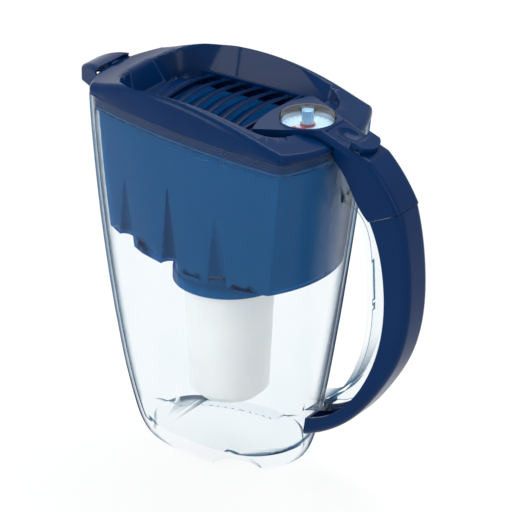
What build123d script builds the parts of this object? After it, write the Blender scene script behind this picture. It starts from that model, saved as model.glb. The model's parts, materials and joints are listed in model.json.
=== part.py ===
"""Countertop water filter jug: clear jug, blue funnel, white filter cartridge and a dark blue lid
with a louvred fill shutter, a thumb slider, a pour flap and a change counter.

Millimetres. +Z is up, +X points to the handle, the origin is on the standing surface, on the axis
of the cartridge. The jug is symmetric about the plane Y = 0, apart from the shutter's link bar.
"""
from build123d import *
import math
import os

os.makedirs("parts", exist_ok=True)

# Jug shell, from the foot to the loft's top edge
loft_height = 270.0
jug_wall = 2.6
rim_drop = 11.0
rim_height = loft_height - rim_drop
rim_slope = 0.047
foot_front = 64.0
foot_rear = 61.0
foot_front_corner_x = 43.0
foot_front_corner_y = 31.5
foot_rear_corner_x = 34.0
foot_rear_corner_y = 38.0
foot_side_bulge = 6.5
rim_front = 104.0
rim_rear = 98.0
rim_front_corner_x = 90.0
rim_front_corner_y = 44.0
rim_rear_corner_x = 83.0
rim_rear_corner_y = 58.0
rim_side_bulge = 7.0
front_swell = 1.4
front_swell_root = 0.6
rear_swell = 1.1
rear_swell_root = 0.65
corner_radius = 5.0
floor_height = 12.0
floor_thickness = 3.0
foot_band = 3.5
notch_height = 9.0
notch_width = 34.0
notch_depth = 16.0

# Spout and the flap over it
spout_reach = 121.5
spout_height = 59.0
spout_start_height = rim_height - spout_height
spout_curve = 1.3
spout_sections = 4
spout_root_half = 19.0
spout_tip_half = 7.0
spout_tip_radius = 4.0
spout_wall = 2.2
spout_overlap = 8.0
flap_wall = 2.0
flap_clearance = 0.5
flap_skirt = 9.0
flap_lid_gap = 0.4
flap_swing = 60
flap_swing_step = 5
flap_overhang = 5.0
flap_root = 1.6
flap_hinge_x = -100.6
flap_hinge_rise = 9.4
flap_hinge_z = rim_height + flap_hinge_rise
flap_edge_round = 4.0
flap_pin_radius = 1.2
flap_pin_length = 15.0
flap_lug_half = 3.4
flap_lug_radius = 2.6
flap_lug_play = 0.4
ear_width = 4.5
ear_depth = 4.0
spout_top_drop = 5.2

# Funnel, its ledge in the jug and its cartridge socket
ledge_drop = 14.0
ledge_thickness = 2.5
ledge_width = 1.5
seat_gap = 0.25
flange_thickness = 2.5
funnel_gap = 2.2
funnel_wall = 2.2
funnel_corner_radius = 2.0
funnel_front_setback = 11.0
funnel_sections = 5
funnel_depth = 111.0
funnel_front_rise = 18.0
funnel_rear_rise = 4.0
funnel_knee_rise = 4.0
funnel_mid_bottom = rim_height - funnel_depth
flute_radius = 10.0
flute_length = 75.0
flute_stand_off = 3.0
flute_first_x = -60.0
flute_pitch = 42.0
flute_count = 3
socket_radius = 40.7
socket_step_radius = 39.3
socket_step_drop = 10.5
socket_height = 8.0
socket_step_height = funnel_mid_bottom - socket_step_drop
socket_bottom = socket_step_height - socket_height
socket_lip = 2.5
socket_lip_bore = 34.5
socket_bore = 37.0

# Cartridge
cartridge_top_radius = 33.0
cartridge_bottom_radius = 29.0
cartridge_stand_off = 27.0
cartridge_bottom = floor_height + cartridge_stand_off
cartridge_shoulder_rise = 2.0
cartridge_shoulder = funnel_mid_bottom + cartridge_shoulder_rise
cartridge_wall = 1.8
cartridge_flange_radius = 36.6
cartridge_flange = 2.6
cartridge_bottom_round = 6.0
outlet_slot_length = 12.0
outlet_slot_width = 1.8
outlet_slots = 12
cap_height = 25.0
cap_radius = 31.0
cap_dome = 9.0
cap_wall = 1.6
cap_slots = 16
cap_slot_width = 2.2
cap_slot_height = 10.0
seal_section = 2.0
screen_thickness = 0.8
media_clearance = 0.3

# Lid
lid_wall = 2.2
skirt_clearance = 0.4
skirt_thickness = 1.8
skirt_depth = 8.2
lid_edge_round = 5.0
tub_inset = 4.2
basin_drop = 3.0
basin_bottom = rim_height - basin_drop
basin_floor = 2.0
basin_front = 69.0
basin_rear = 36.5
basin_half_width = 41.0
basin_flare = 0.47
basin_front_flare = 0.41
basin_loft = 30.0
basin_corner = 22.0
basin_corner_growth = 0.8
basin_rear_lean = 2.0
basin_rear_corner = 3.0
deck_rise = 3.0
deck_height = rim_height + deck_rise
deck_front = 40.0
deck_rear = 70.0
deck_rear_lean = 6.0
deck_half_width = 44.5
deck_corner = 18.0

# Louvre shutter
blade_count = 6
blade_pitch = 13.5
blade_first_x = -43.0
blade_pivot_rise = 5.5
blade_pivot_height = basin_bottom + blade_pivot_rise
blade_chord = 14.4
blade_half_length = 34.0
blade_arch = 3.4
blade_thickness = 1.7
blade_tilt = 24.0
blade_pin_radius = 1.2
blade_pin_length = 4.9
pin_clearance = 0.08
crank_radius = 5.0
crank_half_swing = 25.0
crank_thickness = 1.6
crank_width = 3.2
crank_pin_radius = 0.8
crank_pin_length = 2.6
link_width = 2.0
link_height = 3.4
link_clearance = 0.3
link_corner_gap = 17.0
link_end_gap = 4.0
crank_y = blade_half_length
link_sink = 0.95
link_low = basin_bottom - link_sink
frame_rail = 2.4
frame_inner_half_width = 37.0
frame_front_gap = 9.5
frame_rear_gap = 9.2
frame_depth = 3.6
frame_rise = 8.0
frame_bottom = basin_bottom - frame_depth
frame_top = basin_bottom + frame_rise
frame_fit = 0.2
frame_flange = 1.4

# Counter under its clear cover
counter_x = 66.0
counter_radius = 19.5
counter_stand = 9.0
counter_top = deck_height + counter_stand
counter_sink = 2.5
counter_floor_height = deck_height - counter_sink
counter_floor = 1.5
counter_cup_rise = 3.0
counter_cup_top = deck_height + counter_cup_rise
counter_wall = 1.2
counter_clearance = 0.3
counter_flange_radius = 21.0
counter_flange = 1.0
counter_flange_gap = 0.1
counter_post_radius = 1.5
counter_post_rise = 6.5
counter_post_top = deck_height + counter_post_rise
dial_thickness = 1.0
sector_thickness = 0.8
sector_angle = 75.0
sector_turn = -78.0
sector_inner_radius = 10.5
cover_wall = 1.2
cover_gap = 0.3
cover_low = counter_cup_top + cover_gap
sector_outer_radius = 17.8
spindle_radius = 4.2
spindle_rise = 0.4
spindle_low = deck_height + spindle_rise
knob_radius = 5.7
knob_rise = 4.0
knob_top = counter_top + knob_rise

# Arm of the lid, and the grip below it
fan_front = 37.0
fan_corner_x = 45.0
fan_half_width = 37.0
fan_waist_x = 66.0
fan_waist_half = 26.0
fan_tail_x = 92.0
fan_tail_half = 10.0
arm_start_x = 70.0
arm_start_half_width = 16.8
arm_half_width = 14.2
arm_wall = 2.4
arm_round = 4.5
arm_gap = 0.15
arm_reach = 152.0
seam_gap = 0.4
grip_half_width = 14.0
grip_wall = 2.4
grip_round = 6.0
frame_half_width = 11.2
frame_wall = 2.4
frame_fit_gap = 0.4
margin = 60.0

# Thumb slider
slider_x = 89.0
slider_rise = 7.5
slider_z = rim_height + slider_rise
slider_slope = 20.0
slider_length = 24.0
slider_half_width = 11.5
slider_thickness = 4.0
slider_lip_start = 20.0
slider_lip_end = 34.5
slider_lip_height = 5.0
slider_clearance = 0.4
slider_scoop_radius = 16.0
slider_scoop_depth = 3.0
slider_scoop_set_back = 8.5
slider_nose_radius = 17.0
slider_nose_back = 12.0
slider_nose_drop = 6.0
slider_rail_half = 8.5
slider_rail_thickness = 1.8
slider_rail_gap = 0.3
drive_s = 20.0
drive_n = -8.2
drive_gap = 0.5
link_tail_front = 97.0
link_tail_bend = 98.8
link_tail_foot = 103.4
link_tail_drop = 6.0
link_tail_end = 4.2
drive_neck_half = 4.6
drive_neck_length = 4.0
drive_neck_foot = 2.2
spring_radius = 1.9
spring_wire = 0.5
spring_turns = 7
spring_length = 10.5
spring_rib = 2.0

# Screws that hold the arm to the lid
screw_radius = 1.4
screw_head_radius = 2.8
screw_head_height = 1.3
screw_length = 6.4
screw_slot = 0.8
screw_places = [(56.0, -27.0), (56.0, 27.0)]


def from_rim(points):
    """Points of a side view, given as X and the height over the rim at the middle of the jug."""
    return [(x, rim_height + rise) for x, rise in points]


# Side view of the lid's crown, front to rear
lid_crown = from_rim([
    (-130.0, 7.0), (-104.0, 10.6), (-88.0, 12.6), (-70.0, 17.2), (-54.0, 21.0), (-38.0, 23.2),
    (-20.0, 23.4), (5.0, 21.6), (30.0, 17.4), (50.0, 12.4), (72.0, 5.8), (88.0, 1.4),
    (130.0, -9.0),
])

# Side view of the flap's crown: tip, middle and root
flap_crown = from_rim([
    (-spout_reach - flap_overhang, 4.0),
    (-spout_reach + flap_overhang, 10.6),
    (flap_hinge_x + flap_root, 12.8),
])

# Side view of the arm: along the top to the seam, and back along the inside of the loop
arm_crown = from_rim([(30.0, 7.6), (66.0, 8.4)])
arm_back = from_rim([(124.5, -5.4), (134.0, -14.8), (143.5, -27.0), (150.5, -38.5)])
arm_inside = from_rim([(126.5, -49.5), (121.5, -44.5), (111.5, -28.0), (100.0, -11.5), (93.0, -7.0)])

# Side view of the grip, from the seam to the toe
grip_outer = from_rim([
    (150.5, -38.5), (155.2, -59.0), (158.2, -84.0), (158.6, -109.0), (155.4, -134.0), (148.2, -156.0),
    (136.5, -177.0), (122.5, -196.5), (107.0, -212.5), (90.0, -224.0), (73.0, -231.5),
])
grip_inner = from_rim([
    (126.5, -49.5), (134.2, -69.0), (138.6, -92.0), (139.4, -120.0), (135.0, -147.0), (125.0, -173.0),
    (111.0, -194.0), (95.0, -208.0), (75.5, -216.0),
])

# Side view of the clear frame inside the loop: its finger side
frame_finger_side = from_rim([
    (92.0, -41.0), (99.0, -46.0), (109.0, -47.5), (117.0, -56.0), (121.5, -69.0), (123.5, -91.0),
    (124.2, -120.0), (121.5, -145.0), (114.5, -167.0), (101.0, -189.0), (87.0, -199.0), (66.0, -202.0),
])
frame_top_side = from_rim([(88.0, -13.0), (99.0, -15.0), (112.0, -24.0), (124.0, -40.0), (136.0, -52.0)])
frame_engagement = 5.0


def swell(z, power, root):
    """Share of the way from the foot's size to the rim's size, reached at height z."""
    t = min(z / loft_height, 1.0)
    return (1.0 - (1.0 - t) ** power) ** root


def between(low, high, share):
    return low + (high - low) * share


def plan(front, front_corner, side_bulge, rear_corner, rear, inset, radius):
    """Boat-shaped outline of four arcs, moved inwards by inset, with rounded corners."""
    near_front = (-front_corner[0], -front_corner[1])
    near_rear = (rear_corner[0], -rear_corner[1])
    far_front = (-front_corner[0], front_corner[1])
    far_rear = (rear_corner[0], rear_corner[1])
    middle_x = (near_front[0] + near_rear[0]) / 2
    middle_y = (front_corner[1] + rear_corner[1]) / 2 + side_bulge
    edges = [
        ThreePointArc(far_front, (-front, 0), near_front),
        ThreePointArc(near_front, (middle_x, -middle_y), near_rear),
        ThreePointArc(near_rear, (rear, 0), far_rear),
        ThreePointArc(far_rear, (middle_x, middle_y), far_front),
    ]
    face = make_face(edges)
    if inset:
        face = offset(face, amount=-inset, kind=Kind.INTERSECTION)
    return fillet(face.vertices(), radius)


def jug_plan(z, inset, radius=corner_radius, front_extra=0.0):
    """The jug's outline at height z, inset from its outer face."""
    f = swell(z, front_swell, front_swell_root)
    r = swell(z, rear_swell, rear_swell_root)
    return plan(
        between(foot_front, rim_front, f) - front_extra,
        (between(foot_front_corner_x, rim_front_corner_x, f),
         between(foot_front_corner_y, rim_front_corner_y, f)),
        between(foot_side_bulge, rim_side_bulge, f),
        (between(foot_rear_corner_x, rim_rear_corner_x, r),
         between(foot_rear_corner_y, rim_rear_corner_y, r)),
        between(foot_rear, rim_rear, r),
        inset,
        radius,
    )


def jug_loft(heights, inset, radius=corner_radius, front_extra=0.0):
    sections = [Pos(0, 0, z) * jug_plan(z, inset, radius, front_extra) for z in heights]
    return loft(sections)


def rim_z(x):
    return rim_height - rim_slope * x


def slab(low, high):
    """Everything between two planes parallel to the jug's rim, at these heights from it."""
    reach = 220.0
    corners = [
        (-reach, rim_z(-reach) + low),
        (reach, rim_z(reach) + low),
        (reach, rim_z(reach) + high),
        (-reach, rim_z(-reach) + high),
    ]
    return side_body(make_face(Polyline(*corners, close=True)), reach)


def side_body(face, half_width):
    """A face drawn in X and Z, given thickness along Y on both sides of the middle plane."""
    upright = Plane((0, half_width, 0), x_dir=(1, 0, 0), z_dir=(0, -1, 0)) * face
    return extrude(upright, amount=2 * half_width)


def box_between(x, y, z):
    """Box from pairs of limits."""
    size = (x[1] - x[0], y[1] - y[0], z[1] - z[0])
    centre = ((x[0] + x[1]) / 2, (y[0] + y[1]) / 2, (z[0] + z[1]) / 2)
    return Pos(*centre) * Box(*size)


def rod_y(x, z, radius, y_low, y_high):
    """Round bar along Y."""
    bar = Rot(90, 0, 0) * Cylinder(radius, y_high - y_low)
    return Pos(x, (y_low + y_high) / 2, z) * bar


def disc(radius, z_low, z_high, x=0.0):
    return Pos(x, 0, (z_low + z_high) / 2) * Cylinder(radius, z_high - z_low)


def save(shape, name):
    export_step(shape, "parts/" + name + ".step")




def levels(low, steps, power):
    """Heights of a loft's sections up to the loft's top, closer at the foot when power is over one."""
    return [low + (loft_height - low) * (k / steps) ** power for k in range(steps + 1)]


def side_face(points):
    return make_face(Polyline(*points, close=True))


def parallel(points, distance):
    """Points moved sideways by distance, to the left of the way they run."""
    moved = []
    for k, (x, z) in enumerate(points):
        before = points[max(k - 1, 0)]
        after = points[min(k + 1, len(points) - 1)]
        length = math.dist(before, after)
        along_x = (after[0] - before[0]) / length
        along_z = (after[1] - before[1]) / length
        moved.append((x - along_z * distance, z + along_x * distance))
    return moved


def spout_plan(z, grow):
    """Outline of the spout at height z: a wedge that points away from the handle."""
    share = max((z - spout_start_height) / (rim_z(-spout_reach) - spout_start_height), 0.0)
    wall_x = between(foot_front, rim_front, swell(z, front_swell, front_swell_root))
    tip = between(wall_x - spout_wall, spout_reach, share ** spout_curve) + grow
    shoulder = wall_x - spout_overlap / 2
    back = wall_x - spout_overlap * 2
    root = spout_root_half + grow
    nose = spout_tip_half + grow
    near = [(-back, -root), (-shoulder, -root), (-tip, -nose)]
    far = [(x, -y) for x, y in reversed(near)]
    face = side_face(near + far)
    return fillet(face.vertices().sort_by(Axis.X)[0:2], spout_tip_radius + grow)


def spout_loft(grow):
    steps = [k / spout_sections for k in range(spout_sections + 1)]
    heights = [between(spout_start_height, loft_height, share) for share in steps]
    return loft([Pos(0, 0, z) * spout_plan(z, grow) for z in heights])


def notch_cutter(x, y):
    """Bar that cuts one arch out of the foot, on the line from the axis through (x, y)."""
    radius = ((notch_width / 2) ** 2 + notch_height ** 2) / (2 * notch_height)
    length = 4 * notch_depth
    reach = math.hypot(x, y) - notch_depth + length / 2
    bar = Rot(0, 90, 0) * Cylinder(radius, length)
    angle = math.degrees(math.atan2(y, x))
    return Rot(0, 0, angle) * Pos(reach, 0, notch_height - radius) * bar


def rim_ring(outer_inset, inner_inset, low, high):
    """Ring that follows the jug's rim, between two insets and two heights from the rim."""
    narrowest = rim_z(rim_rear) + low
    outer = Pos(0, 0, narrowest) * extrude(jug_plan(narrowest, outer_inset), amount=80)
    inner = Pos(0, 0, narrowest) * extrude(jug_plan(narrowest, inner_inset, funnel_corner_radius), amount=80)
    return (outer - inner) & slab(low, high)


def spout_way():
    """Space over the water's way to the spout, kept clear in the rings at the rim."""
    x_limits = (-2 * spout_reach, -rim_front + spout_overlap * 2)
    return box_between(x_limits, (-spout_root_half, spout_root_half), (0, 2 * loft_height))


def handle_frame():
    """Clear C-shaped channel behind the jug: floor on the finger side, webs on both sides."""
    outside = [(x + frame_engagement, z) for x, z in grip_inner[1:-2]]
    start = frame_top_side + outside
    end = [(x, z + frame_wall) for x, z in grip_inner[-2:]]
    outer_line = Spline(*(frame_top_side[-1:] + outside))
    toe_line = Polyline(outside[-1], end[0], (end[1][0] - frame_engagement * 2, end[1][1]), frame_finger_side[-1])
    finger_line = Spline(*frame_finger_side)
    top_line = Polyline(frame_finger_side[0], frame_top_side[0])
    upper_line = Polyline(*frame_top_side)
    profile = make_face([outer_line, toe_line, finger_line, top_line, upper_line])
    solid = side_body(profile, frame_half_width)
    floor_line = parallel(frame_finger_side, frame_wall)[1:-1]
    beyond = arm_reach + margin
    high = loft_height + margin
    far = [(floor_line[-1][0], 0.0), (beyond, 0.0), (beyond, high), (floor_line[0][0], high)]
    pocket = make_face([Spline(*floor_line), Polyline(floor_line[-1], *far, floor_line[0])])
    return solid - side_body(pocket, frame_half_width - frame_wall)


def jug_body():
    """Clear moulded jug: shell on a three-lobed foot, spout, funnel ledge and handle frame."""
    body = jug_loft(levels(0, 10, 1.5), 0.0) + spout_loft(0.0) + handle_frame()
    body -= jug_loft(levels(floor_height, 9, 1.0), jug_wall)
    body -= spout_loft(-spout_wall)
    under = extrude(jug_plan(0, foot_band), amount=floor_height - floor_thickness)
    body -= under
    for x, y in ((-foot_front, 0), (foot_rear_corner_x, foot_rear_corner_y), (foot_rear_corner_x, -foot_rear_corner_y)):
        body -= notch_cutter(x, y)
    lid_front = -rim_front - skirt_clearance
    beyond = -rim_front - margin
    slope = spout_top_drop / (spout_reach - rim_front)
    spout_top = side_face([
        (lid_front, rim_z(lid_front)), (beyond, rim_z(lid_front) - slope * margin),
        (beyond, loft_height + margin), (lid_front, loft_height + margin),
    ])
    body -= side_body(spout_top, 2 * spout_root_half)
    ledge = rim_ring(jug_wall / 2, jug_wall + ledge_width, -ledge_drop, -ledge_drop + ledge_thickness)
    body += ledge - spout_way()
    return body - slab(0, 80)


def funnel_bottom_face(raise_by):
    """Region above the funnel's sloping bottom, seen from the side."""
    reach = rim_front + margin
    low = funnel_mid_bottom + raise_by
    high = loft_height + margin
    bottom = [
        (-reach, low + funnel_front_rise), (-85.0, low + funnel_front_rise), (-45.0, low + funnel_knee_rise),
        (-10.0, low), (socket_radius, low), (reach, low + 2 * funnel_rear_rise),
    ]
    return side_body(side_face(bottom + [(reach, high), (-reach, high)]), rim_front)


def flutes(grow):
    """Pointed dents in both long sides of the funnel, apex up."""
    shapes = []
    for side in (-1, 1):
        for k in range(flute_count):
            x = flute_first_x + k * flute_pitch
            cone = Cone(flute_radius + grow, 0.6 + grow, flute_length)
            y = side * (between(36.0, 54.5, (x + 90.0) / 160.0) + flute_stand_off)
            bottom = funnel_mid_bottom - 12
            shapes.append(Pos(x, y, bottom + flute_length / 2) * Rot(-side * 4, 0, 0) * cone)
    return shapes


def funnel():
    """Blue translucent funnel: fluted hopper on a rim flange, with the cartridge socket below."""
    inset = jug_wall + funnel_gap
    low = funnel_mid_bottom - socket_height
    heights = [between(low, loft_height, k / funnel_sections) for k in range(funnel_sections + 1)]
    outer = jug_loft(heights, inset, funnel_corner_radius, funnel_front_setback)
    inner = jug_loft(heights, inset + funnel_wall, funnel_corner_radius, funnel_front_setback)
    for cone in flutes(0.0):
        outer -= cone
    for cone in flutes(funnel_wall):
        inner -= cone
    hopper = (outer & funnel_bottom_face(0.0)) - (inner & funnel_bottom_face(funnel_wall))
    flange_low = -ledge_drop + ledge_thickness + seat_gap
    flange_high = flange_low + flange_thickness
    hopper -= slab(flange_high, margin)
    flange = rim_ring(jug_wall + skirt_clearance, inset + funnel_wall / 2, flange_low, flange_high)
    hopper += flange - spout_way()
    hopper += disc(socket_radius, socket_bottom, socket_step_height)
    hopper += disc(socket_step_radius, socket_step_height, funnel_mid_bottom + funnel_wall)
    hopper -= disc(socket_bore, socket_bottom + socket_lip, funnel_mid_bottom + socket_height)
    return hopper - disc(socket_lip_bore, socket_bottom - 1, socket_bottom + socket_lip + 1)


def turned(points):
    """Solid of revolution about the cartridge's axis from radius and height pairs."""
    face = side_face(points)
    upright = Plane((0, 0, 0), x_dir=(1, 0, 0), z_dir=(0, -1, 0)) * face
    return revolve(upright, Axis.Z)


seal_low = socket_bottom + socket_lip + seat_gap
flange_seat = seal_low + seal_section + seat_gap


def cartridge_body():
    """White cup that holds the granules, with a seat flange and drain slots in its floor."""
    t = cartridge_wall
    low = cartridge_bottom
    r0 = cartridge_bottom_radius
    r1 = cartridge_top_radius
    top = flange_seat + cartridge_flange
    e = cartridge_bottom_round
    cup = turned([
        (0, low), (r0 - e, low), (r0, low + e), (r1, flange_seat), (cartridge_flange_radius, flange_seat),
        (cartridge_flange_radius, top), (r1, top), (r1, cartridge_shoulder), (r1 - t, cartridge_shoulder),
        (r1 - t, top), (r0 - t, low + e), (r0 - e - t / 2, low + t), (0, low + t),
    ])
    for k in range(outlet_slots):
        slot = Box(outlet_slot_length, outlet_slot_width, 4 * t)
        middle = outlet_slot_length
        cup -= Rot(0, 0, k * 360 / outlet_slots) * Pos(middle, 0, low) * slot
    return cup


def cartridge_cap():
    """Slotted white dome on top of the cartridge."""
    base = cartridge_shoulder + seat_gap
    top = base + cap_height
    t = cap_wall
    r = cap_radius
    dome = turned([
        (0, top), (r * 0.45, top - 1.0), (r - cap_dome, top - 3.5), (r - 2.0, top - cap_dome), (r, base),
        (r - t, base), (r - 2.0 - t, top - cap_dome - t), (r - cap_dome - t, top - 3.5 - t),
        (r * 0.45, top - 1.0 - t), (0, top - t),
    ])
    for k in range(cap_slots):
        slot = Box(4 * cap_dome, cap_slot_width, cap_slot_height)
        dome -= Rot(0, 0, k * 360 / cap_slots) * Pos(r + cap_dome, 0, top - cap_height / 2 - 1) * slot
    return dome


def cup_radius(z):
    """Inner radius of the cartridge's cup at height z."""
    low = cartridge_bottom + cartridge_bottom_round
    share = (z - low) / (flange_seat + cartridge_flange - low)
    r0 = cartridge_bottom_radius - cartridge_wall
    r1 = cartridge_top_radius - cartridge_wall
    return between(r0, r1, min(max(share, 0.0), 1.0))


screen_low = cartridge_bottom + cartridge_bottom_round + 1.0
media_low = screen_low + screen_thickness + media_clearance
media_high = cartridge_shoulder - screen_thickness - 2 * media_clearance
upper_screen_low = media_high + media_clearance


def filter_media():
    r0 = cup_radius(media_low) - media_clearance
    r1 = cup_radius(media_high) - media_clearance
    knee = flange_seat + cartridge_flange
    return turned([(0, media_low), (r0, media_low), (r1, knee), (r1, media_high), (0, media_high)])


def screen(z):
    return disc(cup_radius(z) - media_clearance, z, z + screen_thickness)


def seal_ring():
    inner = socket_lip_bore + seat_gap
    outer = socket_bore - seat_gap
    ring = disc(outer, seal_low, seal_low + seal_section) - disc(inner, seal_low - 1, seal_low + seal_section + 1)
    return fillet(ring.edges(), seal_section / 4)


def crown_region(drop):
    """Everything below the lid's crown line, lowered by drop."""
    lowered = [(x, z - drop) for x, z in lid_crown]
    crown = Spline(*lowered)
    low = rim_height - margin
    base = Polyline(lowered[-1], (lowered[-1][0], low), (lowered[0][0], low), lowered[0])
    return side_body(make_face([crown, base]), rim_front)


def rim_prism(inset):
    """Upright body with the jug's outline at the rim, from well below the rim to above the lid."""
    return Pos(0, 0, rim_height - margin / 2) * extrude(jug_plan(rim_height, inset), amount=2 * margin)


def rounded_plan(front, rear, half, radius):
    centre = Pos((rear - front) / 2, 0)
    return centre * RectangleRounded(front + rear, 2 * half, radius)


def basin_plan(front, rear, half, front_radius, rear_radius):
    face = side_face([(-front, -half), (rear, -half), (rear, half), (-front, half)])
    ordered = face.vertices().sort_by(Axis.X)
    face = fillet(ordered[0:2], front_radius)
    return fillet(face.vertices().sort_by(Axis.X)[-2:], rear_radius)


def basin(grow):
    """Flared fill basin: walls lean out to the rim of the lid."""
    rise = basin_loft
    half = basin_half_width + grow
    front = basin_front + grow
    rear = basin_rear + grow
    rear_radius = basin_rear_corner + grow
    low = basin_plan(front, rear, half, basin_corner + grow, rear_radius)
    high = basin_plan(
        front + basin_front_flare * rise,
        rear + basin_rear_lean,
        half + basin_flare * rise,
        basin_corner + grow + rise * basin_corner_growth,
        rear_radius,
    )
    z = basin_bottom - grow
    return loft([Pos(0, 0, z) * low, Pos(0, 0, z + rise) * high])


def deck(grow):
    """Shallow recess of the lid round the arm and the counter."""
    rise = basin_bottom + basin_loft - deck_height
    low = rounded_plan(deck_front + grow, deck_rear + grow, deck_half_width + grow, deck_corner)
    high = rounded_plan(
        deck_front + basin_front_flare * rise + grow,
        deck_rear + deck_rear_lean + grow,
        deck_half_width + basin_flare * rise + grow,
        deck_corner + rise / 3,
    )
    z = deck_height - grow
    return loft([Pos(0, 0, z) * low, Pos(0, 0, z + rise) * high])


def lid_block():
    """The lid's outer form with its edge rounded, before it is hollowed."""
    block = rim_prism(0.0) & slab(seat_gap, margin) & crown_region(0.0)
    curved = [e for e in block.edges() if e.geom_type != GeomType.LINE]
    upper = [e for e in curved if e.center().Z > rim_z(e.center().X) + skirt_thickness]
    return fillet(upper, lid_edge_round)


def frame_limits(grow):
    """Outer limits of the louvre frame in X and in Y."""
    last = blade_first_x + (blade_count - 1) * blade_pitch
    x_limits = (blade_first_x - frame_front_gap - frame_rail - grow, last + frame_rear_gap + frame_rail + grow)
    half = frame_inner_half_width + frame_rail + grow
    return x_limits, (-half, half)


def link_window():
    """Way for the link bar through the basin's rear wall and over the jug's rear rim."""
    y_limits = (crank_y - 2 * link_width, crank_y + 2 * link_width)
    low = link_low - link_clearance
    high = link_low + link_height + link_clearance
    return box_between((basin_rear - 3 * lid_wall, basin_rear + 2 * lid_wall), y_limits, (low, high))


def lid_shell():
    """Dark blue lid: crowned deck with the fill basin, a skirt into the jug and openings."""
    block = lid_block()
    hollow = rim_prism(lid_wall) & crown_region(lid_wall) & slab(0, margin)
    hollow = hollow - basin(basin_floor) - deck(basin_floor)
    tub = rim_prism(tub_inset) & (basin(basin_floor) + deck(basin_floor)) & slab(-margin, 2 * seat_gap)
    shell = block - hollow + tub - basin(0.0) - deck(0.0)
    skirt_outside = jug_wall + skirt_clearance
    skirt_inside = skirt_outside + skirt_thickness
    skirt = rim_ring(skirt_outside, skirt_inside, -skirt_depth, seat_gap + skirt_thickness)
    seat = rim_ring(lid_wall / 2, skirt_inside, seat_gap, seat_gap + skirt_thickness)
    shell += (skirt + seat) - spout_way()
    x_limits, y_limits = frame_limits(frame_fit)
    high = deck_height + margin
    shell -= box_between(x_limits, y_limits, (rim_height - margin, basin_bottom + frame_fit))
    shell -= link_window()
    shell -= disc(counter_radius + counter_clearance, rim_height - skirt_depth, high, counter_x)
    slider_way = (slider_x - slider_clearance * 5, 2 * arm_reach)
    shell -= box_between(slider_way, (-slider_rail_half, slider_rail_half), (link_low - link_clearance, high))
    for x, y in screw_places:
        shell -= Pos(x, y, deck_height) * Cylinder(screw_radius + pin_clearance, 4 * screw_length)
    shell -= disc(counter_flange_radius + counter_clearance, deck_height, high, counter_x)
    ear_x = (flap_hinge_x - ear_depth, flap_hinge_x + ear_depth)
    ear_z = (flap_hinge_z - ear_depth, flap_hinge_z + ear_depth)
    reach = flap_lug_half + flap_lug_play
    shell += box_between(ear_x, (-reach - ear_width, reach + ear_width), ear_z) & block
    slot_radius = flap_lug_radius + flap_lug_play
    shell -= rod_y(flap_hinge_x, flap_hinge_z, slot_radius, -reach, reach)
    beyond = -rim_front - margin
    shell -= box_between((beyond, flap_hinge_x), (-reach, reach), (flap_hinge_z - slot_radius, high))
    shell -= box_between((beyond, flap_hinge_x + slot_radius), (-reach, reach), (flap_hinge_z, high))
    return shell - rod_y(flap_hinge_x, flap_hinge_z, flap_pin_radius + pin_clearance / 4, -margin, margin)




def blade_x(k):
    return blade_first_x + k * blade_pitch


def louvre_frame():
    """Frame under the basin that carries the blades' pins in its two long rails."""
    x_limits, y_limits = frame_limits(0.0)
    frame = box_between(x_limits, y_limits, (frame_bottom, frame_top))
    rim_x = (x_limits[0] - frame_flange, x_limits[1] + frame_flange)
    rim_y = (y_limits[0] - frame_flange, y_limits[1] + frame_flange)
    foot_top = basin_bottom - basin_floor - seat_gap
    frame += box_between(rim_x, rim_y, (frame_bottom, foot_top))
    hole_x = (x_limits[0] + frame_rail, x_limits[1] - frame_rail)
    half = frame_inner_half_width
    frame -= box_between(hole_x, (-half, half), (frame_bottom - margin, frame_top + margin))
    front_x = (x_limits[0] - frame_rail, hole_x[0] + frame_flange)
    frame -= box_between(front_x, (-2 * half, 2 * half), (basin_bottom + frame_flange, frame_top + margin))
    for k in range(blade_count):
        radius = blade_pin_radius + pin_clearance
        frame -= rod_y(blade_x(k), blade_pivot_height, radius, -2 * half, 2 * half)
    return frame - link_window()


def turned_about_y(shape, x, z, degrees):
    return Pos(x, 0, z) * Rot(0, degrees, 0) * shape


def crank_offset():
    """Crank pin's place from the pivot at rest, along X and Z."""
    swing = math.radians(crank_half_swing)
    return -crank_radius * math.sin(swing), -crank_radius * math.cos(swing)


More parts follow.
